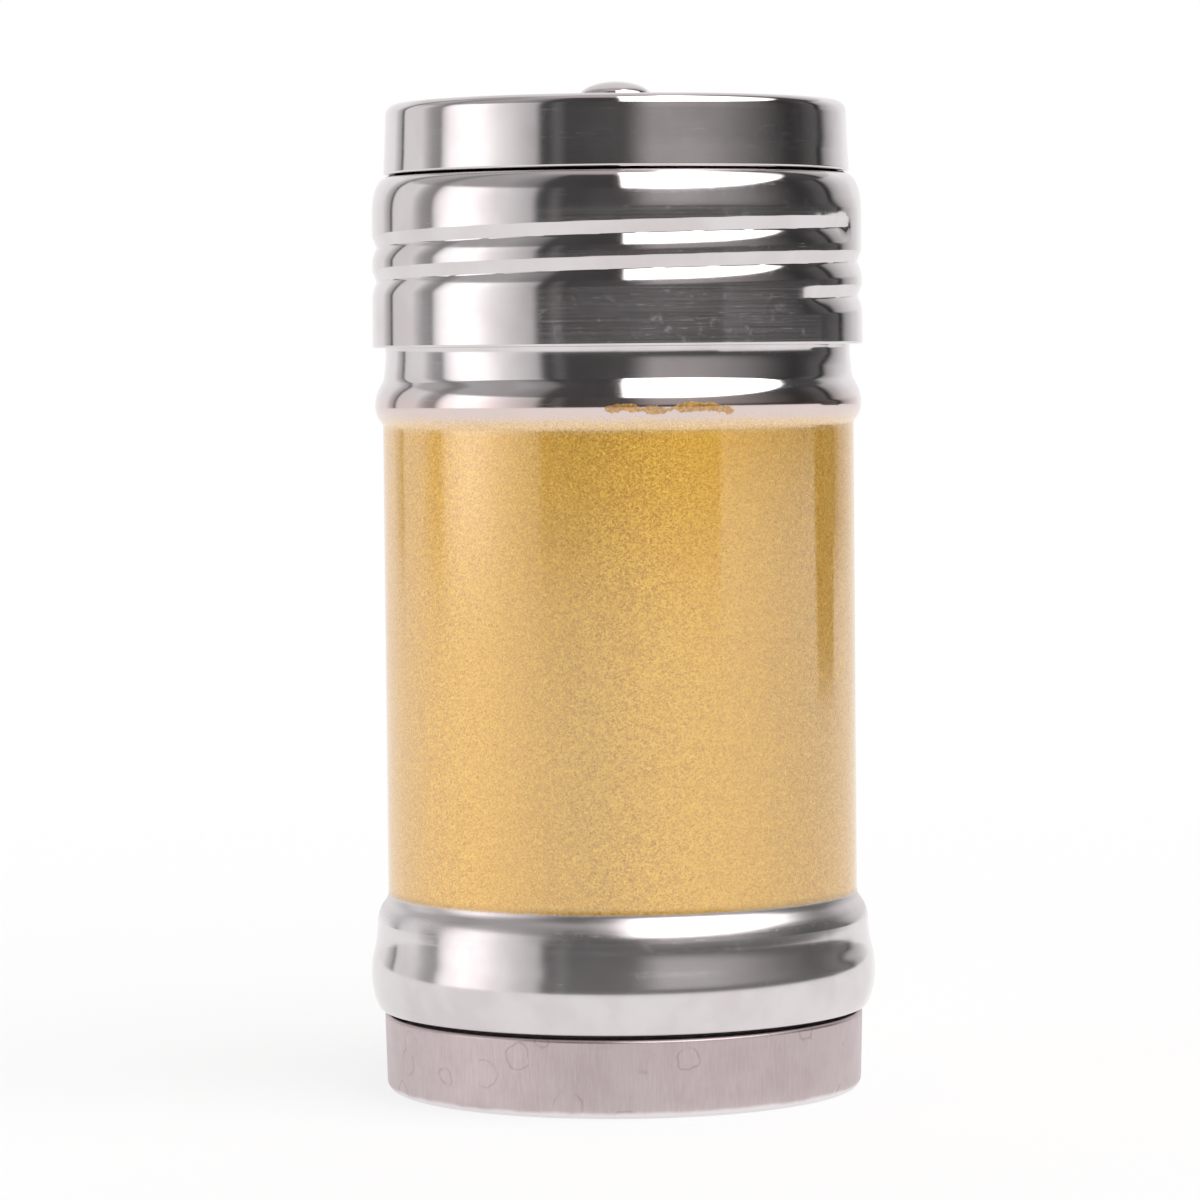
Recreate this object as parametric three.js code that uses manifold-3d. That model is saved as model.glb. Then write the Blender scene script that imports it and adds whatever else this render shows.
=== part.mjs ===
// Steel spice shaker: a lacquered jar on a pressed base, a screw lid, and a cap that turns on the lid.
// Millimetres, +Z up. z = 0 is the surface it stands on, and the front faces -Y.
// Angles are in degrees, counted from the front towards the right-hand side, +X.

import * as THREE from "three";
import { mergeVertices } from "three/addons/utils/BufferGeometryUtils.js";
import Module from "manifold-3d";

const wasm = await Module();
wasm.setup();

// ---------------------------------------------------------------- driving dimensions

const SHEET = 0.45; // steel sheet of the jar, lid and cap
const GAP = 0.3; // room between pieces that touch
const TURN_SEGMENTS = 40;
const SMALL_SEGMENTS = 24;

const BASE = { thickness: 0.6, height: 7.7, lowRadius: 23.78, highRadius: 23.95, corner: 0.9 };

const JAR = {
  flangeRadius: 20.6, // inner edge of the flange that stands in the base
  spigotRadius: 22.95,
  bulge: { centre: [23.45, 11.75], radii: [1.8, 4.2], from: -58, to: 38 },
  crease: [24.67, 15.2],
  step: { centre: [22.95, 16.0], radii: [1.72, 3.4], from: 8, to: 60 },
  wall: { radius: 23.5, foot: 19.5 },
  beadFoot: { centre: [21.67, 68.4], radii: [2.6, 2.6], from: -45.3, to: 0 },
  beadCrown: { centre: [20.27, 68.4], radii: [4.0, 4.0], from: 9, to: 36 },
  neck: [[23.38, 71.2], [23.25, 72.3], [23.17, 73.1], [23.3, 74.0], [23.15, 75.0]],
  neckRadius: 23.15,
  lip: { centre: [22.45, 88.0], radii: [0.6, 0.6], from: 0, to: 180 },
};

const LID = {
  rimHeight: 74.2, // lower edge, above the ground; the other heights count from here
  rimRadius: 24.47,
  skirtRadius: 24.4,
  shoulder: { centre: [22.4, 13.0], radii: [2.0, 4.05], from: 0, to: 90 },
  turretRadius: 22.0,
  turretCorner: 1.0,
  deckHeight: 22.75,
};

const CAP = { lowRadius: 23.2, highRadius: 22.95, corner: 1.1, aboveShoulder: 0.2 };

const THREAD = { pitch: 3.4, width: 1.7, depth: 0.5, runOut: 18, rowSpacing: 0.68 };
const LID_THREAD = { top: 11.25, angle: 71, turns: 2.07 };
const JAR_THREAD_LEAD = 0.47; // turns by which the jar's thread starts after the lid's
const JAR_THREAD = {
  top: LID.rimHeight + LID_THREAD.top + THREAD.pitch * (0.5 - JAR_THREAD_LEAD),
  angle: LID_THREAD.angle - 360 * JAR_THREAD_LEAD,
  turns: 2.2,
};

const GASKET = { inner: 21.1, outer: 22.95, thickness: 1.5, chamfer: 0.5 };

const RIVET = {
  shank: 1.5,
  hole: 1.8,
  head: { radius: 3.65, dome: 1.6, edge: 0.25 },
  tail: { radius: 2.4, dome: 0.75, edge: 0.2 },
};
const BEARING_WASHER = { outer: 4.5, thickness: 0.35 };
const SPRING_WASHER = { outer: 4.2, thickness: 0.3, dish: 0.5 };
const TAIL_WASHER = { outer: 3.4, thickness: 0.5 };

// The four positions of the cap, a quarter turn apart. The quarter at 315 degrees stays blank.
const FINE_HOLES = { centre: 45, radius: 0.9, rings: [[8, 2], [11.5, 3], [15, 4], [18.3, 5]], spread: 52 };
const COARSE_HOLES = { centre: 135, radius: 1.8, rings: [[9.2, 1], [13.2, 2], [17.2, 3]], spread: 46 };
const POUR_OPENING = { centre: 225, inner: 7.5, outer: 19, spread: 58, corner: 1.6 };
const CAP_WINDOW = { centre: 45, inner: 6.4, outer: 19.8, spread: 66, corner: 1.8 };

// heights that follow from the ones above
const SHOULDER_TOP = LID.shoulder.centre[1] + LID.shoulder.radii[1];
const CAP_Z = SHOULDER_TOP + CAP.aboveShoulder; // above the lid's rim
const CAP_HEIGHT = LID.deckHeight + BEARING_WASHER.thickness + 2 * GAP + SHEET - CAP_Z;
const JAR_TOP = JAR.lip.centre[1] + JAR.lip.radii[1];

// ---------------------------------------------------------------- outlines and solids

const DEG = Math.PI / 180;
const point = (radius, height) => new THREE.Vector2(radius, height);

function arc({ centre, radii, from, to }, steps) {
  return Array.from({ length: steps + 1 }, (_, i) => {
    const angle = THREE.MathUtils.lerp(from, to, i / steps) * DEG;
    return point(centre[0] + radii[0] * Math.cos(angle), centre[1] + radii[1] * Math.sin(angle));
  });
}

// points up a straight wall, close enough together to carry a rolled thread
function threadWall(radius, thread) {
  const bottom = thread.top - THREAD.pitch * thread.turns - THREAD.width / 2;
  const top = thread.top + THREAD.width / 2;
  const steps = Math.ceil((top - bottom) / THREAD.rowSpacing);
  return Array.from({ length: steps + 1 }, (_, i) => {
    return point(radius, THREE.MathUtils.lerp(bottom, top, i / steps));
  });
}

// turns a path, drawn upwards along a sheet's outer face, into the outline of the whole sheet
function sheetOutline(path, thickness = SHEET) {
  const last = path.length - 1;
  const inner = path.map((here, i) => {
    const before = here.clone().sub(path[Math.max(i - 1, 0)]).normalize();
    const after = path[Math.min(i + 1, last)].clone().sub(here).normalize();
    const along = before.clone().add(after).normalize();
    const mitre = thickness / along.dot(i < last ? after : before);
    return point(here.x - along.y * mitre, here.y + along.x * mitre);
  });
  return [...path, ...inner.reverse()];
}

// an outline that doesn't start on the axis is closed on itself
function turned(outline, segments = TURN_SEGMENTS) {
  const closed = outline[0].x > 0 ? [...outline, outline[0].clone()] : outline;
  return new THREE.LatheGeometry(closed, segments).rotateX(Math.PI / 2);
}

// how far a rolled thread stands off its wall at one place, from 0 to 1
function threadShape(thread, angle, height) {
  const end = thread.turns * 360;
  let shape = 0;
  for (let run = THREE.MathUtils.euclideanModulo(thread.angle - angle, 360); run < end; run += 360) {
    const offset = height - thread.top + (THREAD.pitch * run) / 360;
    if (Math.abs(offset) < THREAD.width / 2) {
      const fade = Math.min(1, run / THREAD.runOut, (end - run) / THREAD.runOut);
      shape = Math.max(shape, fade * Math.cos((Math.PI * offset) / THREAD.width) ** 2);
    }
  }
  return shape;
}

// presses the thread into a turned sheet: outwards with a positive depth, inwards with a negative one
function rollThread(geometry, thread, depth) {
  const position = geometry.attributes.position;
  for (let i = 0; i < position.count; i++) {
    const [x, y, z] = [position.getX(i), position.getY(i), position.getZ(i)];
    const angle = Math.atan2(x, -y) / DEG;
    const scale = 1 + (depth * threadShape(thread, angle, z)) / Math.hypot(x, y);
    position.setXY(i, x * scale, y * scale);
  }
  return geometry;
}

function toSolid(geometry) {
  const bare = new THREE.BufferGeometry().setAttribute("position", geometry.attributes.position);
  const merged = mergeVertices(bare.setIndex(geometry.index));
  const mesh = new wasm.Mesh({
    numProp: 3,
    vertProperties: merged.attributes.position.array,
    triVerts: merged.index.array,
  });
  return new wasm.Manifold(mesh);
}

function toGeometry(solid) {
  const mesh = solid.getMesh();
  const geometry = new THREE.BufferGeometry();
  geometry.setAttribute("position", new THREE.BufferAttribute(mesh.vertProperties, 3));
  geometry.setIndex(new THREE.BufferAttribute(mesh.triVerts, 1));
  return geometry;
}

// cuts each shape straight down through a plate whose upper face is at this height
function cutThrough(geometry, shapes, height) {
  const margin = 0.4;
  const depth = SHEET + 2 * margin;
  const cut = (solid, shape) => {
    const cutter = new THREE.ExtrudeGeometry(shape, { depth, bevelEnabled: false, curveSegments: 6 });
    return solid.subtract(toSolid(cutter.translate(0, 0, height - SHEET - margin)));
  };
  return toGeometry(shapes.reduce(cut, toSolid(geometry)));
}

// ---------------------------------------------------------------- openings in the deck and cap

const polar = (radius, heading) => [radius * Math.cos(heading), radius * Math.sin(heading)];
const headingOf = (angle) => (angle - 90) * DEG;

function holeShapes({ centre, radius, rings, spread }) {
  return rings.flatMap(([ring, count]) => {
    return Array.from({ length: count }, (_, i) => {
      const offset = count > 1 ? spread * (i / (count - 1) - 0.5) : 0;
      const [x, y] = polar(ring, headingOf(centre + offset));
      return new THREE.Shape().absarc(x, y, radius, 0, 2 * Math.PI, false);
    });
  });
}

function fanShape({ centre, inner, outer, spread, corner }) {
  const start = headingOf(centre - spread / 2);
  const end = headingOf(centre + spread / 2);
  const [outerTrim, innerTrim] = [corner / outer, corner / inner];
  const shape = new THREE.Shape();
  shape.moveTo(...polar(inner + corner, start));
  shape.lineTo(...polar(outer - corner, start));
  shape.quadraticCurveTo(...polar(outer, start), ...polar(outer, start + outerTrim));
  shape.absarc(0, 0, outer, start + outerTrim, end - outerTrim, false);
  shape.quadraticCurveTo(...polar(outer, end), ...polar(outer - corner, end));
  shape.lineTo(...polar(inner + corner, end));
  shape.quadraticCurveTo(...polar(inner, end), ...polar(inner, end - innerTrim));
  shape.absarc(0, 0, inner, end - innerTrim, start + innerTrim, true);
  shape.quadraticCurveTo(...polar(inner, start), ...polar(inner + corner, start));
  return shape;
}

// ---------------------------------------------------------------- the pieces, each from its own lowest point

function baseCup() {
  const { thickness, height, lowRadius, highRadius, corner } = BASE;
  const fillet = { centre: [lowRadius - corner, corner], radii: [corner, corner], from: -90, to: 0 };
  return turned(sheetOutline([point(0, 0), ...arc(fillet, 4), point(highRadius, height)], thickness));
}

function jarShell() {
  const foot = BASE.thickness + 1.5 * GAP;
  const undercut = BASE.height + GAP;
  const path = [
    point(JAR.flangeRadius, foot),
    point(JAR.spigotRadius - GAP, foot),
    point(JAR.spigotRadius, foot + GAP),
    point(JAR.spigotRadius, undercut - GAP),
    point(JAR.spigotRadius + GAP, undercut),
    ...arc(JAR.bulge, 7),
    point(...JAR.crease),
    ...arc(JAR.step, 4),
    point(JAR.wall.radius, JAR.wall.foot),
    ...arc(JAR.beadFoot, 3),
    ...arc(JAR.beadCrown, 3),
    ...JAR.neck.map(([radius, height]) => point(radius, height)),
    ...threadWall(JAR.neckRadius, JAR_THREAD),
    ...arc(JAR.lip, 5),
  ];
  return rollThread(turned(sheetOutline(path)), JAR_THREAD, THREAD.depth);
}

function lidShell() {
  const { turretRadius, turretCorner, deckHeight } = LID;
  const corner = {
    centre: [turretRadius - turretCorner, deckHeight - turretCorner],
    radii: [turretCorner, turretCorner],
    from: 0,
    to: 90,
  };
  const path = [
    point(LID.rimRadius, 0),
    ...threadWall(LID.skirtRadius, LID_THREAD),
    ...arc(LID.shoulder, 5),
    point(turretRadius, SHOULDER_TOP + 0.1),
    ...arc(corner, 3),
    point(RIVET.hole, deckHeight),
  ];
  const shell = rollThread(turned(sheetOutline(path)), LID_THREAD, -THREAD.depth);
  const openings = [...holeShapes(FINE_HOLES), ...holeShapes(COARSE_HOLES), fanShape(POUR_OPENING)];
  return cutThrough(shell, openings, deckHeight);
}

function lidGasket() {
  const { inner, outer, thickness, chamfer } = GASKET;
  return turned([
    point(inner, 0),
    point(outer, 0),
    point(outer, thickness - chamfer),
    point(outer - chamfer, thickness),
    point(inner, thickness),
  ]);
}

function rotatingCap() {
  const { lowRadius, highRadius, corner } = CAP;
  const round = {
    centre: [highRadius - corner, CAP_HEIGHT - corner],
    radii: [corner, corner],
    from: 0,
    to: 90,
  };
  const path = [point(lowRadius, 0), ...arc(round, 4), point(RIVET.hole, CAP_HEIGHT)];
  return cutThrough(turned(sheetOutline(path)), [fanShape(CAP_WINDOW)], CAP_HEIGHT);
}

// domed head on top, shank, and the tail spread below; z = 0 is under the head
function rivet(tailTop) {
  const { shank, head, tail } = RIVET;
  const crown = { centre: [0, head.edge], radii: [head.radius, head.dome], from: 0, to: 90 };
  const foot = { centre: [0, tailTop - tail.edge], radii: [tail.radius, tail.dome], from: -90, to: 0 };
  const outline = [
    ...arc(foot, 4),
    point(tail.radius, tailTop),
    point(shank, tailTop),
    point(shank, 0),
    point(head.radius, 0),
    ...arc(crown, 6),
  ];
  outline[0].x = 0;
  outline[outline.length - 1].x = 0;
  return turned(outline, SMALL_SEGMENTS);
}

// a flat washer, or with a dish a coned one whose outer edge is the higher
function washer({ outer, thickness, dish = 0 }) {
  const bottom = [point(RIVET.hole, 0), point(outer, dish)];
  const top = [point(outer, dish + thickness), point(RIVET.hole, thickness)];
  return turned([...bottom, ...top], SMALL_SEGMENTS);
}

// ---------------------------------------------------------------- materials and assembly

const FINISHES = {
  polishedSteel: { color: 0xc4c0bf, metalness: 1, roughness: 0.16 },
  satinSteel: { color: 0xb9a9a8, metalness: 1, roughness: 0.42 },
  springSteel: { color: 0x8e8f92, metalness: 1, roughness: 0.35 },
  goldLacquer: { color: 0xc4973f, metalness: 0.85, roughness: 0.38 },
  silicone: { color: 0xdad9d3, metalness: 0, roughness: 0.6 },
  nylon: { color: 0xe7e5dc, metalness: 0, roughness: 0.5 },
};

function piece(name, geometry, finish, z = 0) {
  const mesh = new THREE.Mesh(geometry, new THREE.MeshStandardMaterial(FINISHES[finish]));
  mesh.name = name;
  mesh.position.z = z;
  return mesh;
}

function groupAt(z, ...members) {
  const group = new THREE.Group().add(...members);
  group.position.z = z;
  return group;
}

// everything on the rivet, from the underside of its head downwards
function pivotStack() {
  const deckUnderside = -(CAP_Z + CAP_HEIGHT + GAP - LID.deckHeight) - SHEET;
  const bearingZ = -GAP - SHEET - GAP - BEARING_WASHER.thickness;
  const springZ = deckUnderside - GAP - SPRING_WASHER.thickness - SPRING_WASHER.dish;
  const tailWasherZ = springZ - GAP - TAIL_WASHER.thickness;
  return [
    piece("rivet", rivet(tailWasherZ - GAP), "polishedSteel"),
    piece("bearing_washer", washer(BEARING_WASHER), "nylon", bearingZ),
    piece("spring_washer", washer(SPRING_WASHER), "springSteel", springZ),
    piece("tail_washer", washer(TAIL_WASHER), "springSteel", tailWasherZ),
  ];
}

const cap = groupAt(
  CAP_Z,
  piece("rotating_cap", rotatingCap(), "polishedSteel"),
  groupAt(CAP_HEIGHT + GAP, ...pivotStack()),
);

const lid = groupAt(
  LID.rimHeight,
  piece("lid_shell", lidShell(), "polishedSteel"),
  piece("lid_gasket", lidGasket(), "silicone", JAR_TOP + GAP - LID.rimHeight),
  cap,
);

const jar = groupAt(
  0,
  piece("base_cup", baseCup(), "satinSteel"),
  piece("jar_shell", jarShell(), "goldLacquer"),
);

export default new THREE.Group().add(jar, lid);
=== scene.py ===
"""Steel spice shaker with a gold lacquered jar: fine meshes, materials, light and camera on the CAD frame."""

import math

import bmesh
import bpy
import numpy as np
from mathutils import Matrix, Vector
from mathutils.geometry import delaunay_2d_cdt


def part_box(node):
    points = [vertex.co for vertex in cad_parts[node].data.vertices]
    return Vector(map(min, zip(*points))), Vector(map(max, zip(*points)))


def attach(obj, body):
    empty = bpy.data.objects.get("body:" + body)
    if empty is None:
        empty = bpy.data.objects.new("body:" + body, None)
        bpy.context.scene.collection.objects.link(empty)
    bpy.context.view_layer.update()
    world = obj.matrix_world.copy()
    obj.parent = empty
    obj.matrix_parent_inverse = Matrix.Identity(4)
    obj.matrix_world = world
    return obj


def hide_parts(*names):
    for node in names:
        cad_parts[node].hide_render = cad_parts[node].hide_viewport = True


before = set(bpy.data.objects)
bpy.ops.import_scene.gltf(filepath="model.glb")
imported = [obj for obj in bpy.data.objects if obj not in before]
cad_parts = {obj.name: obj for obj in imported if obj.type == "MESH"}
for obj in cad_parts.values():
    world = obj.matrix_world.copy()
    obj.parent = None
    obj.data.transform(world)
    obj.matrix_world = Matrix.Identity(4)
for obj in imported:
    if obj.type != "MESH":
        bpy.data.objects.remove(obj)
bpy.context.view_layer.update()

# ------------------------------------------------------------------ dimensions, in millimetres
# Angles are in degrees from the front, -Y, towards the right-hand side, +X.

MM = 0.001
SEGMENTS = 192
SHEET = 0.45


def low(node):
    """Height of a CAD node's lowest point."""
    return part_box(node)[0][2] / MM


def high(node):
    """Height of a CAD node's highest point."""
    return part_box(node)[1][2] / MM


def half_width(node):
    """Largest radius of a CAD node."""
    return (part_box(node)[1][0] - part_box(node)[0][0]) / 2 / MM


BASE_TOP = high("base_cup")
BASE_SHEET = 0.6
JAR_FOOT = low("jar_shell")
JAR_TOP = high("jar_shell")
LID_RIM = low("lid_shell")
DECK = high("lid_shell")
CAP_RIM = low("rotating_cap")
CAP_TOP = high("rotating_cap")

WALL_RADIUS = 23.5
NECK_RADIUS = 23.15
SKIRT_RADIUS = 24.4
TURRET_RADIUS = 22.0
PIVOT_HOLE = 1.8
CAP_LAP = 0.1  # by which the cap's rim comes closer to the shoulder than in the frame
EDGE = 0.12  # rounding of the edges of punched holes

THREAD_PITCH = 3.4
THREAD_DEPTH = 0.45
LID_THREAD = {"top": LID_RIM + 11.4, "angle": 69, "turns": 2.065, "fades": (3, 12)}
NECK_THREAD = {"top": LID_RIM + 11.35, "angle": -98, "turns": 2.2, "fades": (18, 18)}

FINE_HOLES = {"centre": 45, "radius": 0.9, "rings": [(8, 2), (11.5, 3), (15, 4), (18.3, 5)], "spread": 52}
COARSE_HOLES = {"centre": 135, "radius": 1.8, "rings": [(9.2, 1), (13.2, 2), (17.2, 3)], "spread": 46}
POUR_OPENING = {"centre": 225, "inner": 7.5, "outer": 19, "spread": 58, "corner": 1.6}
CAP_WINDOW = {"centre": 45, "inner": 6.4, "outer": 19.8, "spread": 66, "corner": 1.8}

# ------------------------------------------------------------------ outlines: arrays of (radius, height)


def arc(centre, radii, start, end, steps=24, fullness=1.0):
    """Part of an ellipse; a fullness under 1 squares the first quarter's corner."""
    angles = np.radians(np.linspace(start, end, steps + 1))
    across, up = np.cos(angles), np.sin(angles)
    if fullness != 1:
        across, up = np.maximum(across, 0) ** fullness, np.maximum(up, 0) ** fullness
    return np.column_stack([centre[0] + radii[0] * across, centre[1] + radii[1] * up])


def lengths_along(path):
    return np.concatenate([[0], np.cumsum(np.hypot(*np.diff(path, axis=0).T))])


def soften(parts, reach, dense=None):
    """Joins the parts of a path, rounds its corners over about the reach, and thins its straight stretches.

    dense is (low height, high height, spacing): the stretch that has to carry a rolled thread."""
    step = 0.06
    path = np.vstack([np.atleast_2d(np.asarray(part, float)) for part in parts])
    along = lengths_along(path)
    count = int(along[-1] / step) + 1
    stations = np.linspace(0, along[-1], count)
    even = np.column_stack([np.interp(stations, along, path[:, i]) for i in (0, 1)])
    half = max(1, int(3 * reach / step))
    weights = np.exp(-0.5 * (np.arange(-half, half + 1) * step / reach) ** 2)
    weights /= weights.sum()
    before = 2 * even[0] - even[half:0:-1]
    after = 2 * even[-1] - even[-2 : -half - 2 : -1]
    padded = np.vstack([before, even, after])
    smooth = np.column_stack([np.convolve(padded[:, i], weights, "valid") for i in (0, 1)])
    smooth[0], smooth[-1] = even[0], even[-1]
    return thinned(smooth, dense)


def thinned(path, dense):
    """Keeps a point at each few degrees of turn, one at both ends of each straight stretch, and the ends with
    their neighbours, so that a rounded edge doesn't shade the long face beside it."""
    turn_kept, longest_bend = math.radians(3.5), 0.9
    directions = np.unwrap(np.arctan2(*np.diff(path, axis=0).T[::-1]))
    kept = [0, 1]
    for i in range(2, len(path) - 2):
        turn = abs(directions[i] - directions[kept[-1]])
        length = math.dist(path[i], path[kept[-1]])
        in_dense = dense and dense[0] < path[i][1] < dense[1] and length >= dense[2]
        if turn >= turn_kept or in_dense or (length > longest_bend and turn > math.radians(0.4)):
            if length > longest_bend and kept[-1] != i - 1:
                kept.append(i - 1)
            kept.append(i)
    return path[[*kept, len(path) - 2, len(path) - 1]]


def offset_inwards(path, thickness):
    """The other face of a sheet whose outer face is drawn upwards."""
    tangents = np.gradient(path, lengths_along(path), axis=0)
    tangents /= np.hypot(*tangents.T)[:, None]
    return path + thickness * np.column_stack([-tangents[:, 1], tangents[:, 0]])


def half_round(start, end, steps=6):
    """Points strictly between a sheet's two faces, round its edge, which bulges to the right of start-end."""
    centre = (start + end) / 2
    arm = start - centre
    angles = np.radians(np.linspace(0, 180, steps + 1)[1:-1])
    across = np.array([-arm[1], arm[0]])
    return np.array([centre + arm * math.cos(a) + across * math.sin(a) for a in angles])


def sheet(path, thickness=SHEET, round_start=True, round_end=True):
    """Outline of a sheet, from the top of its inner face down, round its lower edge and up its outer face."""
    inner = offset_inwards(path, thickness)[::-1]
    outline = [inner]
    if round_start:
        outline.append(half_round(inner[-1], path[0]))
    outline.append(path)
    if round_end:
        outline.append(half_round(path[-1], inner[0]))
    return np.vstack(outline)


# ------------------------------------------------------------------ rolled threads


def helix_offsets(thread, angle, height):
    """(height above the thread's centreline, fade at its ends) for each turn of the thread at one angle."""
    end = thread["turns"] * 360
    run = (thread["angle"] - angle) % 360
    while run < end:
        fade_in, fade_out = thread["fades"]
        fade = min(1, run / fade_in, (end - run) / fade_out)
        yield height - thread["top"] + THREAD_PITCH * run / 360, fade * fade * (3 - 2 * fade)
        run += 360


def lid_groove(angle, height):
    """A groove with a straight upper flank and a rounded lower one, in millimetres outwards."""
    upper, lower = 1.15, 1.6
    depth = 0
    for offset, fade in helix_offsets(LID_THREAD, angle, height):
        if -lower < offset <= 0:
            depth = max(depth, fade * (1 + offset / lower) ** 1.8)
        elif 0 < offset < upper:
            depth = max(depth, fade * (1 - offset / upper))
    return -THREAD_DEPTH * depth


def neck_ridge(angle, height):
    half = THREAD_PITCH / 4
    rises = [
        fade * math.cos(math.pi / 2 * offset / half) ** 2
        for offset, fade in helix_offsets(NECK_THREAD, angle, height)
        if abs(offset) < half
    ]
    return THREAD_DEPTH * max(rises, default=0)


# ------------------------------------------------------------------ mesh building


class Body:
    """A closed mesh made of turned surfaces and flat plates, all in the frame's place."""

    def __init__(self, relief=None, segments=SEGMENTS):
        self.mesh = bmesh.new()
        self.relief = relief  # radial offset at an angle and height
        self.segments = segments
        self.flats = set()

    def ring(self, radius, height):
        if radius < 1e-6:
            return [self.mesh.verts.new((0, 0, height * MM))]
        vertices = []
        for i in range(self.segments):
            angle = 360 * i / self.segments
            reach = radius + (self.relief(angle, height) if self.relief else 0)
            vertices.append(self.vertex(reach, angle, height))
        return vertices

    def vertex(self, radius, angle, height):
        turn = math.radians(angle)
        place = (radius * math.sin(turn) * MM, -radius * math.cos(turn) * MM, height * MM)
        return self.mesh.verts.new(place)

    def band(self, below, above):
        """Faces between two rings of vertices, or between a ring and a point."""
        count = max(len(below), len(above))
        for i in range(count):
            j = (i + 1) % count
            if len(above) == 1:
                self.mesh.faces.new((below[i], below[j], above[0]))
            elif len(below) == 1:
                self.mesh.faces.new((below[0], above[j], above[i]))
            else:
                self.mesh.faces.new((below[i], below[j], above[j], above[i]))

    def turn(self, outline, closed=True):
        """Turns an outline, drawn upwards on its outer side; returns its first and last rings."""
        rings = [self.ring(radius, height) for radius, height in outline]
        for below, above in zip(rings, rings[1:]):
            self.band(below, above)
        if closed and len(rings[0]) > 1:
            self.band(rings[-1], rings[0])
        return rings[0], rings[-1]

    def punch(self, loop, top, bottom):
        """The wall of a punched hole with rounded edges; returns its upper and lower loops."""
        steps = 4
        rounds = np.radians(np.linspace(90, 0, steps + 1))
        rows = [(EDGE * (1 - math.cos(a)), top - EDGE + EDGE * math.sin(a)) for a in rounds]
        rows += [(out, bottom + top - height) for out, height in reversed(rows)]
        loops = []
        normals = loop_normals(loop)
        for out, height in rows:
            grown = loop + normals * out
            loops.append([self.mesh.verts.new((x * MM, y * MM, height * MM)) for x, y in grown])
        for above, below in zip(loops, loops[1:]):
            self.band(above, below)
        return loops[0], loops[-1]

    def plate(self, outer, holes, faces_up):
        """A flat face between an outer ring and the loops of its holes."""
        loops = [outer, *holes]
        vertices = [vertex for loop in loops for vertex in loop]
        flat = [Vector((vertex.co.x, vertex.co.y)) / MM for vertex in vertices]
        edges, first = [], 0
        for loop in loops:
            count = len(loop)
            edges += [(first + i, first + (i + 1) % count) for i in range(count)]
            first += count
        _, _, triangles, origins, _, _ = delaunay_2d_cdt(flat, edges, [], 1, 1e-6)
        outlines = [np.array([vertex.co.xy for vertex in loop]) / MM for loop in holes]
        for triangle in triangles:
            corners = [vertices[origins[i][0]] for i in triangle]
            middle = sum((corner.co.xy for corner in corners), Vector((0, 0))) / (3 * MM)
            if any(inside(outline, middle) for outline in outlines):
                continue
            face = self.mesh.faces.new(corners)
            face.normal_update()
            if (face.normal.z > 0) != faces_up:
                face.normal_flip()
            self.flats.add(face)

    def finish(self, name, material, sharp_angle=40):
        """Writes the mesh to an object, smooth but for its sharp edges and the borders of its flat plates."""
        self.mesh.normal_update()
        for face in self.mesh.faces:
            face.smooth = True
        for edge in self.mesh.edges:
            if len(edge.link_faces) != 2:
                continue
            one, other = edge.link_faces
            border = (one in self.flats) != (other in self.flats)
            if border or one.normal.angle(other.normal, 0) > math.radians(sharp_angle):
                edge.smooth = False
        data = bpy.data.meshes.new(name)
        self.mesh.to_mesh(data)
        self.mesh.free()
        data.materials.append(material)
        piece = bpy.data.objects.new(name, data)
        bpy.context.scene.collection.objects.link(piece)
        return piece


def loop_normals(loop):
    """Unit normals of a closed 2-D loop drawn anticlockwise, pointing away from what it encloses."""
    along = np.roll(loop, -1, axis=0) - np.roll(loop, 1, axis=0)
    along /= np.hypot(*along.T)[:, None]
    return np.column_stack([along[:, 1], -along[:, 0]])


def inside(outline, place):
    """Whether a closed 2-D outline encloses a place."""
    x, y = outline.T
    next_x, next_y = np.roll(x, -1), np.roll(y, -1)
    spans = (y > place.y) != (next_y > place.y)
    crossing = x + (place.y - y) / np.where(spans, next_y - y, 1) * (next_x - x)
    return np.count_nonzero(spans & (place.x < crossing)) % 2 == 1


# ------------------------------------------------------------------ outlines of the openings, seen from above


def polar(radius, angle):
    turn = math.radians(angle)
    return np.array([radius * math.sin(turn), -radius * math.cos(turn)])


def round_loop(centre, radius, count=28):
    return np.array([centre + polar(radius, 360 * i / count) for i in range(count)])


def hole_loops(pattern):
    loops = []
    for ring, count in pattern["rings"]:
        for i in range(count):
            offset = pattern["spread"] * (i / (count - 1) - 0.5) if count > 1 else 0
            loops.append(round_loop(polar(ring, pattern["centre"] + offset), pattern["radius"]))
    return loops


def fan_loop(fan):
    """Part of a ring with rounded corners."""
    inner, outer, corner = fan["inner"], fan["outer"], fan["corner"]
    start, end = fan["centre"] - fan["spread"] / 2, fan["centre"] + fan["spread"] / 2

    def bend(before, at, after):
        steps = np.linspace(0, 1, 9)[:, None]
        return (1 - steps) ** 2 * before + 2 * steps * (1 - steps) * at + steps**2 * after

    def sweep(radius, first, last):
        return np.array([polar(radius, angle) for angle in np.linspace(first, last, 26)[1:-1]])

    outer_trim, inner_trim = math.degrees(corner / outer), math.degrees(corner / inner)
    return np.vstack(
        [
            bend(polar(outer - corner, start), polar(outer, start), polar(outer, start + outer_trim)),
            sweep(outer, start + outer_trim, end - outer_trim),
            bend(polar(outer, end - outer_trim), polar(outer, end), polar(outer - corner, end)),
            bend(polar(inner + corner, end), polar(inner, end), polar(inner, end - inner_trim)),
            sweep(inner, end - inner_trim, start + inner_trim),
            bend(polar(inner, start + inner_trim), polar(inner, start), polar(inner + corner, start)),
        ]
    )


# ------------------------------------------------------------------ node materials


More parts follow.
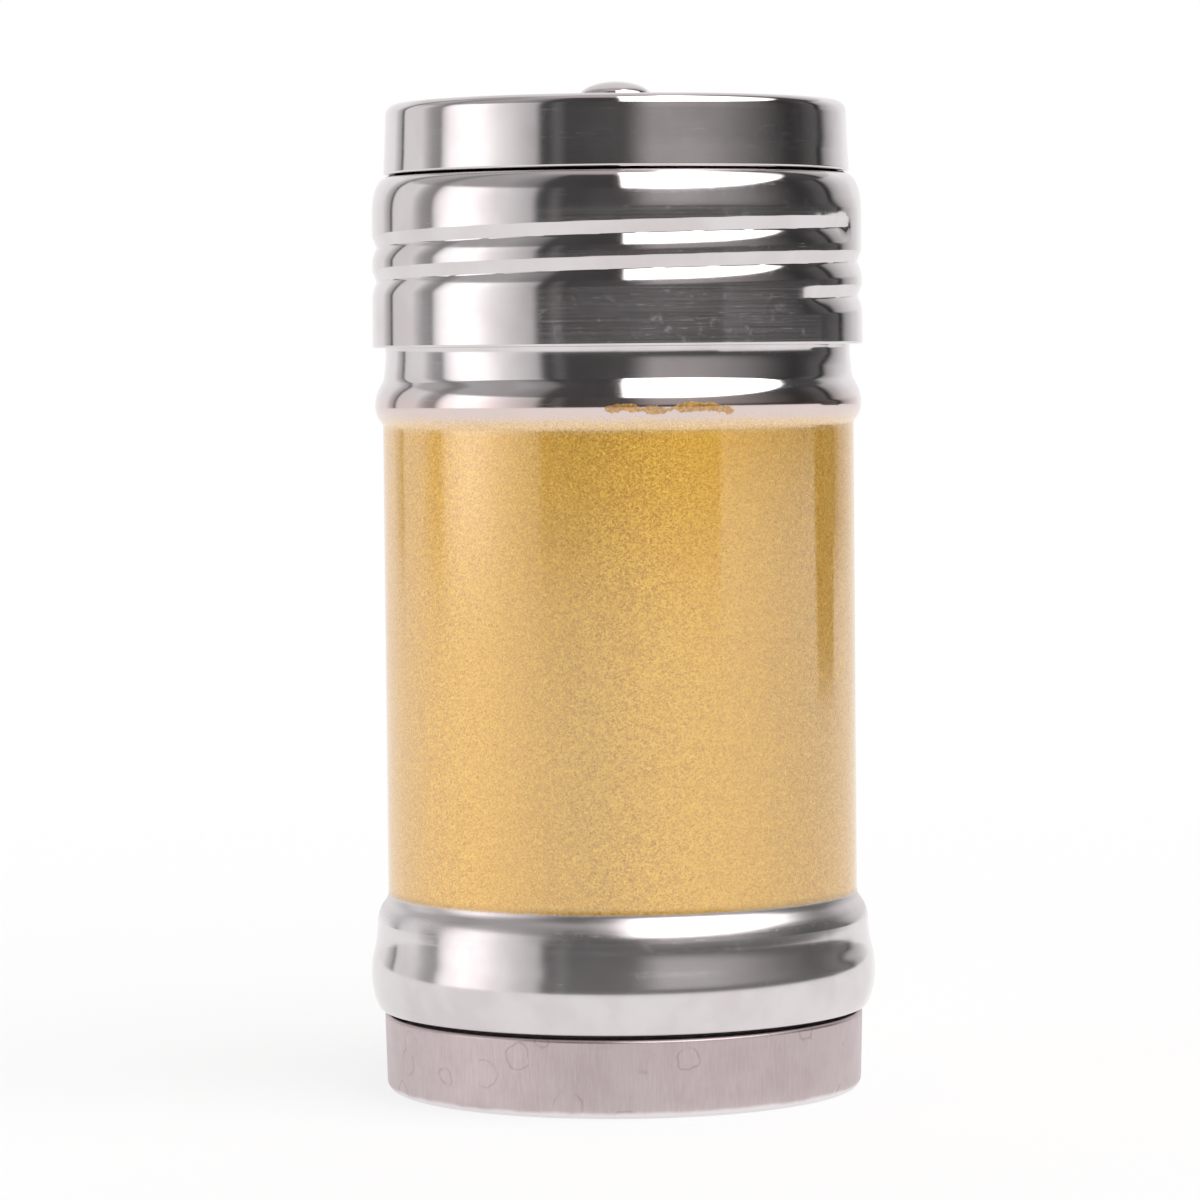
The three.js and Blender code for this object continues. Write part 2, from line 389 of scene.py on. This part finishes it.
def add_node(tree, kind, inputs=None, **settings):
    """Adds a node; an input is a value, or an output socket to link."""
    node = tree.nodes.new(kind)
    for name, value in settings.items():
        setattr(node, name, value)
    for name, value in (inputs or {}).items():
        if isinstance(value, bpy.types.NodeSocket):
            tree.links.new(value, node.inputs[name])
        else:
            node.inputs[name].default_value = value
    return node


class Surface:
    """A material's node tree, with the coordinates and patterns that the materials share."""

    def __init__(self, name):
        self.material = bpy.data.materials.new(name)
        self.material.use_nodes = True
        self.tree = self.material.node_tree
        self.shader = self.tree.nodes["Principled BSDF"]
        place = add_node(self.tree, "ShaderNodeTexCoord").outputs["Object"]
        self.place = self.vector("SCALE", place, scale=1 / MM)
        parts = add_node(self.tree, "ShaderNodeSeparateXYZ", {0: self.place})
        self.x, self.y, self.z = parts.outputs
        squares = self.maths("ADD", self.maths("POWER", self.x, 2), self.maths("POWER", self.y, 2))
        self.radius = self.maths("SQRT", squares)

    def maths(self, operation, first, second=0.0, third=0.0, clamp=False):
        inputs = {0: first, 1: second, 2: third}
        return add_node(self.tree, "ShaderNodeMath", inputs, operation=operation, use_clamp=clamp).outputs[0]

    def vector(self, operation, first, second=None, scale=None):
        node = add_node(self.tree, "ShaderNodeVectorMath", {0: first}, operation=operation)
        if isinstance(second, bpy.types.NodeSocket):
            self.tree.links.new(second, node.inputs[1])
        elif second is not None:
            node.inputs[1].default_value = second
        if isinstance(scale, bpy.types.NodeSocket):
            self.tree.links.new(scale, node.inputs["Scale"])
        elif scale is not None:
            node.inputs["Scale"].default_value = scale
        return node.outputs[0]

    def ramp(self, value, low, high, to_low=0.0, to_high=1.0, smooth=True):
        inputs = {"Value": value, "From Min": low, "From Max": high, "To Min": to_low, "To Max": to_high}
        kind = "SMOOTHSTEP" if smooth else "LINEAR"
        return add_node(self.tree, "ShaderNodeMapRange", inputs, interpolation_type=kind).outputs[0]

    def noise(self, vector, scale, detail=2.0, roughness=0.5, w=None):
        inputs = {"Vector": vector, "Scale": scale, "Detail": detail, "Roughness": roughness}
        if w is None:
            return add_node(self.tree, "ShaderNodeTexNoise", inputs).outputs["Fac"]
        inputs["W"] = w
        return add_node(self.tree, "ShaderNodeTexNoise", inputs, noise_dimensions="4D").outputs["Fac"]

    def cells(self, vector, scale):
        return add_node(self.tree, "ShaderNodeTexVoronoi", {"Vector": vector, "Scale": scale})

    def mix_colour(self, factor, first, second):
        node = add_node(self.tree, "ShaderNodeMix", {"Factor": factor}, data_type="RGBA")
        for index, colour in ((6, first), (7, second)):
            if isinstance(colour, bpy.types.NodeSocket):
                self.tree.links.new(colour, node.inputs[index])
            else:
                node.inputs[index].default_value = (*colour, 1)
        return node.outputs[2]

    def mix(self, factor, first, second):
        inputs = {"Factor": factor, 2: first, 3: second}
        return add_node(self.tree, "ShaderNodeMix", inputs, data_type="FLOAT").outputs[0]

    def turned_grain(self, fineness, length=0.05):
        """Streaks that run round the axis, on walls as well as on flat tops."""
        squash = add_node(self.tree, "ShaderNodeCombineXYZ", {
            "X": self.maths("MULTIPLY", self.x, length),
            "Y": self.maths("MULTIPLY", self.y, length),
            "Z": self.maths("MULTIPLY", self.z, fineness),
        }).outputs[0]
        across = self.maths("MULTIPLY", self.radius, fineness)
        return self.noise(squash, 1.0, 3.0, 0.65, w=across)

    def bump(self, height, distance, normal=None, strength=1.0):
        inputs = {"Height": height, "Distance": distance * MM, "Strength": strength}
        if normal is not None:
            inputs["Normal"] = normal
        return add_node(self.tree, "ShaderNodeBump", inputs).outputs[0]

    def set(self, **values):
        for name, value in values.items():
            socket = self.shader.inputs[name.replace("_", " ")]
            if isinstance(value, bpy.types.NodeSocket):
                self.tree.links.new(value, socket)
            else:
                socket.default_value = value
        return self.material


STEEL = (0.72, 0.685, 0.69)
STEEL_WARM = (0.66, 0.61, 0.615)


def steel_patterns(surface):
    """(colour, roughness, normal) of mirror-polished steel with fine scratches round the axis."""
    grain = surface.turned_grain(7.0)
    clouds = surface.noise(surface.place, 0.16, 3.0)
    waves = surface.noise(surface.place, 0.09, 1.0)
    scratches = surface.ramp(surface.turned_grain(14.0, 0.35), 0.62, 0.72)
    smudges = surface.ramp(surface.noise(surface.place, 0.7, 4.0, 0.7), 0.56, 0.70)
    colour = surface.mix_colour(surface.ramp(clouds, 0.35, 0.7), STEEL, STEEL_WARM)
    roughness = surface.maths("ADD", 0.08, surface.maths("MULTIPLY", surface.ramp(grain, 0.3, 0.75), 0.035))
    roughness = surface.maths("ADD", roughness, surface.maths("MULTIPLY", scratches, 0.15))
    roughness = surface.maths("ADD", roughness, surface.maths("MULTIPLY", smudges, 0.04))
    normal = surface.bump(waves, 0.02)
    normal = surface.bump(grain, 0.0003, normal)
    return colour, roughness, normal


def polished_steel():
    """Steel whose reflections blur across the polishing marks, which run round the axis."""
    surface = Surface("polished_steel")
    colour, roughness, normal = steel_patterns(surface)
    tangent = add_node(surface.tree, "ShaderNodeTangent", direction_type="RADIAL", axis="Z").outputs[0]
    surface.set(Anisotropic=0.75, Anisotropic_Rotation=0.25, Tangent=tangent)
    return surface.set(Base_Color=colour, Metallic=1.0, Roughness=roughness, Normal=normal)


GOLD_BOTTOM = 19.7
GOLD_TOP, OVERSPRAY_TOP = 66.3, 67.9
FLECKS = {"x": 4.8, "reach": 7.6, "height": 68.15}


def lacquer_pattern(surface):
    """(lacquer, flecks): solid on the wall, thinning out in specks above, with ragged flecks on the bead."""
    specks = surface.ramp(surface.noise(surface.place, 8.0, 2.0, 0.7), 0.3, 0.7, smooth=False)
    drift = surface.maths("MULTIPLY", surface.noise(surface.place, 0.12, 2.0), 0.5)
    height = surface.maths("ADD", surface.z, drift)
    cover = surface.ramp(height, GOLD_TOP, OVERSPRAY_TOP + 0.5, 1.1, -0.1, smooth=False)
    top = surface.ramp(surface.maths("SUBTRACT", cover, specks), -0.1, 0.1)
    bottom = surface.maths("ADD", surface.z, surface.maths("MULTIPLY", specks, 0.25))
    band = surface.maths("MULTIPLY", top, surface.ramp(bottom, GOLD_BOTTOM, GOLD_BOTTOM + 0.25))

    along = surface.vector("MULTIPLY", surface.place, (1, 1, 0.3))
    wander = surface.maths("MULTIPLY_ADD", surface.noise(along, 0.28, 2.0), 1.3, -0.65)
    torn = surface.maths("MULTIPLY_ADD", surface.noise(surface.place, 1.7, 4.0, 0.7), 1.5, -0.75)
    off_line = surface.maths("SUBTRACT", surface.z, surface.maths("ADD", wander, FLECKS["height"]))
    thickness = surface.ramp(surface.noise(along, 0.5, 2.0), 0.35, 0.65, 0.12, 0.42)
    from_middle = surface.maths("ABSOLUTE", surface.maths("SUBTRACT", surface.x, FLECKS["x"]))
    tapering = surface.ramp(from_middle, FLECKS["reach"] - 2, FLECKS["reach"])
    thickness = surface.maths("SUBTRACT", thickness, tapering)
    depth = surface.maths("SUBTRACT", thickness, surface.maths("ABSOLUTE", off_line))
    flecks = surface.ramp(surface.maths("ADD", depth, surface.maths("MULTIPLY", torn, 0.55)), -0.05, 0.05)
    flecks = surface.maths("MULTIPLY", flecks, surface.ramp(surface.y, -6, -10))

    outside = surface.ramp(surface.radius, 23.2, 23.3)
    flecks = surface.maths("MULTIPLY", flecks, outside)
    return surface.maths("MAXIMUM", surface.maths("MULTIPLY", band, outside), flecks), flecks


def lacquered_jar():
    """Polished steel, with gold flake lacquer under a clear coat on the straight wall."""
    surface = Surface("lacquered_jar")
    steel_colour, steel_roughness, steel_normal = steel_patterns(surface)
    lacquer, flecks = lacquer_pattern(surface)

    # a haze of spray dust on the step under the lacquer, and a thinner one over the bulge
    dust = surface.ramp(surface.z, 16.4, 18.4)
    film = surface.ramp(surface.z, 21, 13)
    haze = surface.maths("ADD", surface.maths("MULTIPLY", dust, 0.2), surface.maths("MULTIPLY", film, 0.02))
    haze = surface.maths("MULTIPLY", haze, surface.ramp(surface.z, 22, 20))
    steel_roughness = surface.maths("ADD", steel_roughness, haze)
    dull = surface.maths("SUBTRACT", 1.0, surface.maths("MULTIPLY", film, 0.12))

    # a pinkish tint on the steel round the foot of the bead, from 64 to 69.8 mm high
    under_bead_tint = surface.maths("MULTIPLY", surface.ramp(surface.z, 69.8, 68.6), surface.ramp(surface.z, 64, 66))
    under_bead_tint = surface.maths("MULTIPLY", under_bead_tint, 0.8)
    steel_colour = surface.mix_colour(under_bead_tint, steel_colour, (0.74, 0.61, 0.58))

    # the flake: each small cell has its own tilt and shade
    flakes = surface.cells(surface.place, 7.0).outputs["Color"]
    fine_flakes = surface.cells(surface.place, 12.0).outputs["Color"]
    shade = add_node(surface.tree, "ShaderNodeSeparateColor", {0: flakes}).outputs[0]
    fine_shade = add_node(surface.tree, "ShaderNodeSeparateColor", {0: fine_flakes}).outputs[1]
    shade = surface.maths("MULTIPLY_ADD", shade, 0.6, surface.maths("MULTIPLY", fine_shade, 0.55))
    gold = surface.mix_colour(shade, (0.57, 0.23, 0.01), (1.0, 0.64, 0.09))
    pale = surface.mix_colour(fine_shade, (0.66, 0.40, 0.14), (1.0, 0.75, 0.38))
    gold = surface.mix_colour(surface.ramp(surface.z, GOLD_TOP - 0.9, GOLD_TOP + 0.5), gold, pale)
    # the gold darker in specks just above its lower edge
    lower_edge_darkening = surface.ramp(surface.z, GOLD_BOTTOM + 0.75, GOLD_BOTTOM + 0.15, 0.0, 0.6)
    gold = surface.mix_colour(surface.maths("MULTIPLY", lower_edge_darkening, fine_shade), gold, (0.30, 0.17, 0.02))
    burnt = surface.ramp(surface.noise(surface.place, 3.5, 3.0), 0.35, 0.65)
    fleck_colour = surface.mix_colour(burnt, (0.66, 0.36, 0.06), (0.42, 0.19, 0.025))
    gold = surface.mix_colour(flecks, gold, fleck_colour)
    tilt = surface.vector("SUBTRACT", flakes, (0.5, 0.5, 0.5))
    tilt = surface.vector("SCALE", tilt, scale=surface.maths("MULTIPLY", lacquer, 0.34))
    normal = surface.vector("NORMALIZE", surface.vector("ADD", steel_normal, tilt))

    return surface.set(
        Base_Color=surface.mix_colour(lacquer, steel_colour, gold),
        Metallic=surface.mix(lacquer, dull, 1.0),
        Roughness=surface.mix(lacquer, steel_roughness, 0.5),
        Normal=normal,
        Coat_Weight=lacquer,
        Coat_Roughness=0.10,
        Coat_IOR=2.3,
    )


def satin_steel():
    """Dull pinkish steel with a fine upright grain, ring-shaped water marks and a painted highlight along its
    lower edge.
    """
    surface = Surface("satin_steel")
    upright = surface.vector("MULTIPLY", surface.place, (1, 1, 0.06))
    grain = surface.noise(upright, 7.0, 3.0, 0.6)
    clouds = surface.noise(surface.place, 0.35, 3.0, 0.6)
    spots = surface.cells(surface.place, 0.2).outputs["Distance"]
    wobble = surface.maths("MULTIPLY", surface.noise(surface.place, 0.8, 1.0), 0.9)
    distance = surface.maths("ADD", surface.maths("MULTIPLY", spots, 5.0), wobble)
    from_ring = surface.maths("ABSOLUTE", surface.maths("SUBTRACT", distance, 1.8))
    rings = surface.ramp(from_ring, 0.0, 0.17, 1.0, 0.0)
    broken = surface.ramp(surface.noise(surface.place, 0.5, 1.0), 0.36, 0.52)
    rings = surface.maths("MULTIPLY", rings, broken)
    # painted highlight: the lowest millimetre or so lightened, with a cloudy upper edge
    painted_edge_highlight = surface.maths("ADD", surface.z, surface.maths("MULTIPLY", clouds, 0.5))
    painted_edge_highlight = surface.ramp(painted_edge_highlight, 0.65, 1.1, 0.8, 0.0)
    colour = surface.mix_colour(surface.ramp(clouds, 0.3, 0.7), (0.585, 0.49, 0.495), (0.53, 0.435, 0.44))
    colour = surface.mix_colour(surface.ramp(grain, 0.35, 0.9), colour, (0.64, 0.56, 0.565))
    colour = surface.mix_colour(surface.maths("MULTIPLY", rings, 0.5), colour, (0.40, 0.28, 0.28))
    colour = surface.mix_colour(painted_edge_highlight, colour, (0.86, 0.83, 0.84))
    roughness = surface.maths("ADD", 0.30, surface.maths("MULTIPLY", grain, 0.14))
    roughness = surface.maths("ADD", roughness, surface.maths("MULTIPLY", rings, 0.08))
    normal = surface.bump(grain, 0.005)
    return surface.set(Base_Color=colour, Metallic=1.0, Roughness=roughness, Normal=normal)


def spring_steel():
    surface = Surface("spring_steel")
    grain = surface.turned_grain(9.0, 0.4)
    clouds = surface.noise(surface.place, 0.8, 3.0)
    colour = surface.mix_colour(clouds, (0.42, 0.42, 0.43), (0.55, 0.55, 0.56))
    roughness = surface.maths("ADD", 0.22, surface.maths("MULTIPLY", grain, 0.2))
    normal = surface.bump(grain, 0.002)
    return surface.set(Base_Color=colour, Metallic=1.0, Roughness=roughness, Normal=normal)


def moulded(name, light, dark, roughness):
    """Silicone or nylon: soft mottling and a faint moulded texture."""
    surface = Surface(name)
    clouds = surface.noise(surface.place, 0.5, 3.0)
    pores = surface.noise(surface.place, 6.0, 2.0)
    colour = surface.mix_colour(clouds, light, dark)
    rough = surface.maths("ADD", roughness, surface.maths("MULTIPLY", pores, 0.12))
    return surface.set(Base_Color=colour, Roughness=rough, Normal=surface.bump(pores, 0.004))


# ------------------------------------------------------------------ the pieces


def base_cup(material):
    radius, low_radius, corner = half_width("base_cup"), half_width("base_cup") - 0.17, 0.9
    path = soften(
        [
            (0, 0),
            (low_radius - corner, 0),
            arc((low_radius - corner, corner), (corner, corner), -90, 0),
            (radius, BASE_TOP - BASE_SHEET / 2),
        ],
        0.12,
    )
    path[0] = (0, 0)
    rim = half_round(path[-1], offset_inwards(path, BASE_SHEET)[-1])
    inner = offset_inwards(path, BASE_SHEET)
    inner[0] = (0, BASE_SHEET)
    body = Body()
    body.turn(np.vstack([path, rim, inner[::-1]]), closed=False)
    return body.finish("base_cup_fine", material)


def jar(material):
    spigot = 22.95
    undercut = BASE_TOP + 0.3
    path = soften(
        [
            (20.6, JAR_FOOT),
            (spigot - 0.6, JAR_FOOT),
            arc((spigot - 0.6, JAR_FOOT + 0.6), (0.6, 0.6), -90, 0),
            (spigot, undercut - 0.35),
            (spigot + 0.3, undercut),
            arc((23.45, 11.75), (1.8, 4.2), -58, 38),
            (24.70, 15.2),
            arc((22.95, 16.6), (1.64, 2.65), 0, 62),
            (WALL_RADIUS, 19.5),
            arc((21.67, 68.4), (2.6, 2.6), -45.3, 0),
            arc((20.27, 68.4), (4.0, 4.0), 1, 36),
            (23.38, 71.1),
            (23.25, 72.2),
            (23.17, 73.0),
            (23.16, 73.9),
            (23.22, 74.25),
            (23.23, 74.45),
            (NECK_RADIUS, 75.0),
            (NECK_RADIUS, JAR_TOP - 1.2),
            arc((22.45, JAR_TOP - 0.6), (0.6, 0.6), 0, 180),
        ],
        0.16,
        dense=(NECK_THREAD["top"] - 8.6, NECK_THREAD["top"] + 1.0, 0.15),
    )
    body = Body(relief=neck_ridge)
    body.turn(sheet(path))
    return body.finish("jar_fine", material)


def lid(material):
    path = soften(
        [
            (half_width("lid_shell"), LID_RIM + SHEET / 2),
            (SKIRT_RADIUS, LID_RIM + 10.5),
            arc((22.4, LID_RIM + 13.0), (2.0, 4.05), 2, 90, 36, fullness=0.82),
            (TURRET_RADIUS, LID_RIM + 17.15),
            arc((TURRET_RADIUS - 1, DECK - 1), (1, 1), 0, 90),
        ],
        0.14,
        dense=(LID_THREAD["top"] - 8.9, LID_THREAD["top"] + 1.2, 0.08),
    )
    body = Body(relief=lid_groove)
    under, top = body.turn(sheet(path, round_end=False), closed=False)
    loops = [*hole_loops(FINE_HOLES), *hole_loops(COARSE_HOLES), fan_loop(POUR_OPENING)]
    loops.append(round_loop(np.zeros(2), PIVOT_HOLE, 40))
    walls = [body.punch(loop, DECK, DECK - SHEET) for loop in loops]
    body.plate(top, [upper for upper, _ in walls], faces_up=True)
    body.plate(under, [lower for _, lower in walls], faces_up=False)
    return body.finish("lid_fine", material)


def cap(material):
    radius = half_width("rotating_cap")
    corner, top_radius = 1.1, 22.95
    path = soften(
        [
            (radius, CAP_RIM - CAP_LAP + SHEET / 2),
            (radius - 0.12, CAP_RIM + 2.0),
            (top_radius, CAP_TOP - corner - 0.2),
            arc((top_radius - corner, CAP_TOP - corner), (corner, corner), 0, 90),
        ],
        0.14,
    )
    body = Body()
    under, top = body.turn(sheet(path, round_end=False), closed=False)
    loops = [fan_loop(CAP_WINDOW), round_loop(np.zeros(2), PIVOT_HOLE, 40)]
    walls = [body.punch(loop, CAP_TOP, CAP_TOP - SHEET) for loop in loops]
    body.plate(top, [upper for upper, _ in walls], faces_up=True)
    body.plate(under, [lower for _, lower in walls], faces_up=False)
    return body.finish("rotating_cap_fine", material)


def gasket(material):
    bottom, top = low("lid_gasket"), high("lid_gasket")
    inner, outer, soft = 21.1, half_width("lid_gasket"), 0.22
    body = Body()
    corners = [
        arc((inner + soft, top - soft), (soft, soft), 90, 180, 6),
        arc((inner + soft, bottom + soft), (soft, soft), 180, 270, 6),
        arc((outer - soft, bottom + soft), (soft, soft), -90, 0, 6),
        arc((outer - 0.5, top - 0.5), (0.5, 0.5), 0, 90, 8),
    ]
    body.turn(np.vstack(corners))
    return body.finish("lid_gasket_fine", material)


def rivet(material):
    bottom, top, radius = low("rivet"), high("rivet"), half_width("rivet")
    head = CAP_TOP + 0.3
    tail_top = bottom + 0.95
    path = [
        arc((0, tail_top - 0.2), (2.4, 0.75), -90, 0, 16),
        arc((2.2, tail_top - 0.2), (0.2, 0.2), 0, 90, 4)[1:],
        [(1.56, tail_top), (1.5, tail_top + 0.06), (1.5, head - 0.06), (1.56, head)],
        arc((radius - 0.14, head + 0.14), (0.14, 0.14), -90, 0, 5),
        arc((0, top - 1.6), (radius, 1.6), 2, 90, 26),
    ]
    outline = np.vstack(path)
    outline[0, 0] = outline[-1, 0] = 0
    body = Body(segments=96)
    body.turn(outline, closed=False)
    return body.finish("rivet_fine", material)


def washer(node, material, thickness, outer=None):
    """A ring with rounded edges, dished when its node is taller than the sheet that it is made of."""
    outer = outer or half_width(node)
    dish = high(node) - low(node) - thickness
    soft = min(0.12, thickness * 0.4)
    corners = []
    for radius, lift, start in ((PIVOT_HOLE, 0, 90), (outer, dish, -90)):
        side = 1 if start == 90 else -1
        first, second = (thickness - soft, soft) if start == 90 else (soft, thickness - soft)
        centre = radius + side * soft
        corners.append(arc((centre, low(node) + lift + first), (soft, soft), start, start + 90, 4))
        corners.append(arc((centre, low(node) + lift + second), (soft, soft), start + 90, start + 180, 4))
    body = Body(segments=96)
    body.turn(np.vstack(corners))
    return body.finish(f"{node}_fine", material)


polished = polished_steel()
spring = spring_steel()
silicone = moulded("silicone", (0.82, 0.81, 0.77), (0.74, 0.73, 0.69), 0.45)
nylon = moulded("nylon", (0.86, 0.85, 0.80), (0.80, 0.79, 0.73), 0.4)
PIECES = [
    (base_cup(satin_steel()), "jar", "base_cup", "satin_steel"),
    (jar(lacquered_jar()), "jar", "jar_shell", "gold_lacquer"),
    (gasket(silicone), "seal", "lid_gasket", "silicone"),
    (lid(polished), "lid", "lid_shell", "polished_steel"),
    (cap(polished), "cap", "rotating_cap", "polished_steel"),
    (rivet(polished), "cap", "rivet", "polished_steel"),
    (washer("bearing_washer", nylon, 0.35), "cap", "bearing_washer", "nylon"),
    (washer("spring_washer", spring, 0.3), "cap", "spring_washer", "spring_steel"),
    (washer("tail_washer", spring, 0.5), "cap", "tail_washer", "spring_steel"),
]
for piece, body_name, node_name, slot_name in PIECES:
    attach(piece, body_name)
    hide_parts(node_name)

# ------------------------------------------------------------------ floor, light and camera


def studio_floor():
    """A pale floor whose far part gives the same light as the background."""
    radius = 0.6
    bpy.ops.mesh.primitive_circle_add(vertices=96, radius=radius, fill_type="NGON")
    floor = bpy.context.object
    floor.name = "studio_floor"
    surface = Surface("studio_floor")
    far = surface.ramp(surface.radius, 60, 520, 0.8, 1.0)
    tree = surface.tree
    glow = add_node(tree, "ShaderNodeEmission", {"Color": (1, 1, 1, 1), "Strength": 1.0})
    surface.set(Base_Color=(0.9, 0.885, 0.89, 1), Roughness=0.9)
    shaders = {"Fac": far, 1: surface.shader.outputs[0], 2: glow.outputs[0]}
    blend = add_node(tree, "ShaderNodeMixShader", shaders)
    tree.links.new(blend.outputs[0], tree.nodes["Material Output"].inputs["Surface"])
    floor.data.materials.append(surface.material)


# Brightness of the studio round the object, as (angle from the front, brightness): first from the floor up to
# about eye level, with a lit panel on the left, then above that.
LOW_RING = [
    (-180, 1.0), (-143, 0.95), (-137, 0.60), (-133.6, 0.45), (-133, 0.10), (-131, 0.10), (-130, 0.84),
    (-112, 0.90), (-107, 0.60), (-103, 0.42), (-97, 0.32), (-94, 0.95), (-90, 1.35), (-80, 1.75), (-70, 1.6),
    (-60, 1.1), (-50, 0.80), (-40, 0.55), (-37, 0.12), (-34, 0.07), (-29, 0.15), (-24, 0.07), (0, 0.09),
    (60, 0.07), (95, 0.04), (110, 0.06), (125, 0.13), (127, 0.04), (129.5, 0.04), (134, 0.42), (145, 0.75),
    (160, 1.0),
]
HIGH_RING = [
    (-180, 0.9), (-143, 0.85), (-137, 0.55), (-133.5, 0.35), (-133, 0.12), (-131, 0.12), (-130, 0.60),
    (-110, 0.50), (-101, 0.28), (-96, 0.34), (-92, 0.50), (-60, 0.45), (-42, 0.25), (-36, 0.08), (0, 0.06),
    (100, 0.05), (125, 0.09), (127, 0.04), (130, 0.04), (134, 0.45), (160, 0.9),
]
LEAN = 9  # degrees by which the bright back's right-hand edge leans in above eye level
PANEL_TOP = 26
CEILING_FROM, CEILING_TO = 64, 76
CEILING = (0.60, 0.54, 0.55)
FLOOR_LIGHT = (0.98, 0.965, 0.97)  # the far floor's, under the horizon
HORIZON = -2.5
BOARD = {"left": 50, "right": 111, "horizon": -1.3}  # a low white board on the right
STRIP = {"right": 128, "horizon": -4.0}  # a dark strip beside it
GLOW = (0.52, 0.50, 0.50)  # between eye level and the softbox
SOFTBOX = {
    "left": 2.5, "fading": 88, "right": 126,
    "low": 23, "lowest_at": 33, "rise": 7.5,  # its lower edge sags, by the rise 50 degrees from its lowest
    "high": 79, "brightness": 3.2,
}


def studio_world():
    """A dark room with a bright back, a lit panel on the left and a big softbox high on the right."""
    world = bpy.data.worlds.new("studio")
    bpy.context.scene.world = world
    world.use_nodes = True
    tree = world.node_tree
    tree.nodes.clear()

    def maths(operation, *values):
        return add_node(tree, "ShaderNodeMath", dict(enumerate(values)), operation=operation).outputs[0]

    def step(value, low, high):
        inputs = {"Value": value, "From Min": low, "From Max": high}
        return add_node(tree, "ShaderNodeMapRange", inputs, interpolation_type="SMOOTHSTEP").outputs[0]

    def blend(factor, first, second):
        node = add_node(tree, "ShaderNodeMix", {"Factor": factor}, data_type="RGBA")
        for index, colour in ((6, first), (7, second)):
            if isinstance(colour, bpy.types.NodeSocket):
                tree.links.new(colour, node.inputs[index])
            else:
                node.inputs[index].default_value = (*colour, 1)
        return node.outputs[2]

    def ring(turn, stops):
        node = add_node(tree, "ShaderNodeValToRGB", {0: turn})
        elements = node.color_ramp.elements
        for index, (degrees, level) in enumerate(stops):
            place = (degrees + 180) / 360
            element = elements[index] if index < 2 else elements.new(place)
            element.position = place
            element.color = (level, level * 0.985, level * 0.99, 1)
        return node.outputs[0]

    way = add_node(tree, "ShaderNodeTexCoord").outputs["Generated"]
    x, y, z = add_node(tree, "ShaderNodeSeparateXYZ", {0: way}).outputs
    angle = maths("DEGREES", maths("ARCTAN2", x, maths("MULTIPLY", y, -1.0)))
    rise = maths("DEGREES", maths("ARCSINE", z))
    turn = maths("DIVIDE", maths("ADD", angle, 180.0), 360.0)

    lean = maths("MULTIPLY", maths("MULTIPLY", step(rise, 1, 6), step(angle, 95, 110)), LEAN / 360)
    low_ring = ring(maths("ADD", turn, lean), LOW_RING)
    room = blend(step(rise, PANEL_TOP - 2, PANEL_TOP + 2), low_ring, ring(turn, HIGH_RING))
    past_board = step(angle, BOARD["right"] - 2, BOARD["right"] + 2)
    board = maths("SUBTRACT", step(angle, BOARD["left"] - 1.5, BOARD["left"] + 1.5), past_board)
    strip = maths("MULTIPLY", past_board, step(angle, STRIP["right"] + 1, STRIP["right"] - 1))
    horizon = maths("MULTIPLY_ADD", board, BOARD["horizon"] - HORIZON, HORIZON)
    horizon = maths("MULTIPLY_ADD", strip, STRIP["horizon"] - HORIZON, horizon)
    below = step(rise, maths("ADD", horizon, 0.4), maths("SUBTRACT", horizon, 0.4))
    room = blend(below, room, FLOOR_LIGHT)
    room = blend(step(rise, CEILING_FROM, CEILING_TO), room, CEILING)

    glow = maths("MULTIPLY", step(angle, 2, 20), step(angle, 100, 30))
    glow = maths("MULTIPLY", maths("MULTIPLY", glow, step(rise, 1.5, 7)), 0.8)
    room = blend(glow, room, GLOW)

    left = step(angle, SOFTBOX["left"] - 1, SOFTBOX["left"] + 1)
    right = step(angle, SOFTBOX["right"], SOFTBOX["fading"])
    sag = maths("POWER", maths("DIVIDE", maths("SUBTRACT", angle, SOFTBOX["lowest_at"]), 50.0), 2.0)
    low = maths("MULTIPLY_ADD", sag, SOFTBOX["rise"], SOFTBOX["low"])
    above = step(rise, maths("SUBTRACT", low, 1.5), maths("ADD", low, 1.5))
    height = maths("MULTIPLY", above, step(rise, SOFTBOX["high"] + 2, SOFTBOX["high"] - 2))
    lit = maths("MULTIPLY", maths("MULTIPLY", left, right), height)
    bright = SOFTBOX["brightness"]
    room = blend(lit, room, (bright, bright * 0.99, bright * 0.985))

    seen = add_node(tree, "ShaderNodeLightPath").outputs["Is Camera Ray"]
    light = add_node(tree, "ShaderNodeBackground", {"Color": blend(seen, room, (1, 1, 1))})
    output = add_node(tree, "ShaderNodeOutputWorld")
    tree.links.new(light.outputs[0], output.inputs["Surface"])


def camera():
    """The photograph's view: a long lens, a little above the middle and a little left of the axis."""
    data = bpy.data.cameras.new("camera")
    data.lens = 153
    data.sensor_width = 36
    data.clip_start = 0.01
    data.clip_end = 50
    view = bpy.data.objects.new("camera", data)
    tilt = Matrix.Rotation(math.radians(90 - 2.93), 4, "X")
    roll = Matrix.Rotation(math.radians(-0.545), 4, "Z")
    view.matrix_world = Matrix.Translation((-0.002, -0.510, 0.0749)) @ tilt @ roll
    bpy.context.scene.collection.objects.link(view)
    bpy.context.scene.camera = view


studio_floor()
studio_world()
camera()
bpy.context.scene.view_settings.view_transform = "Standard"
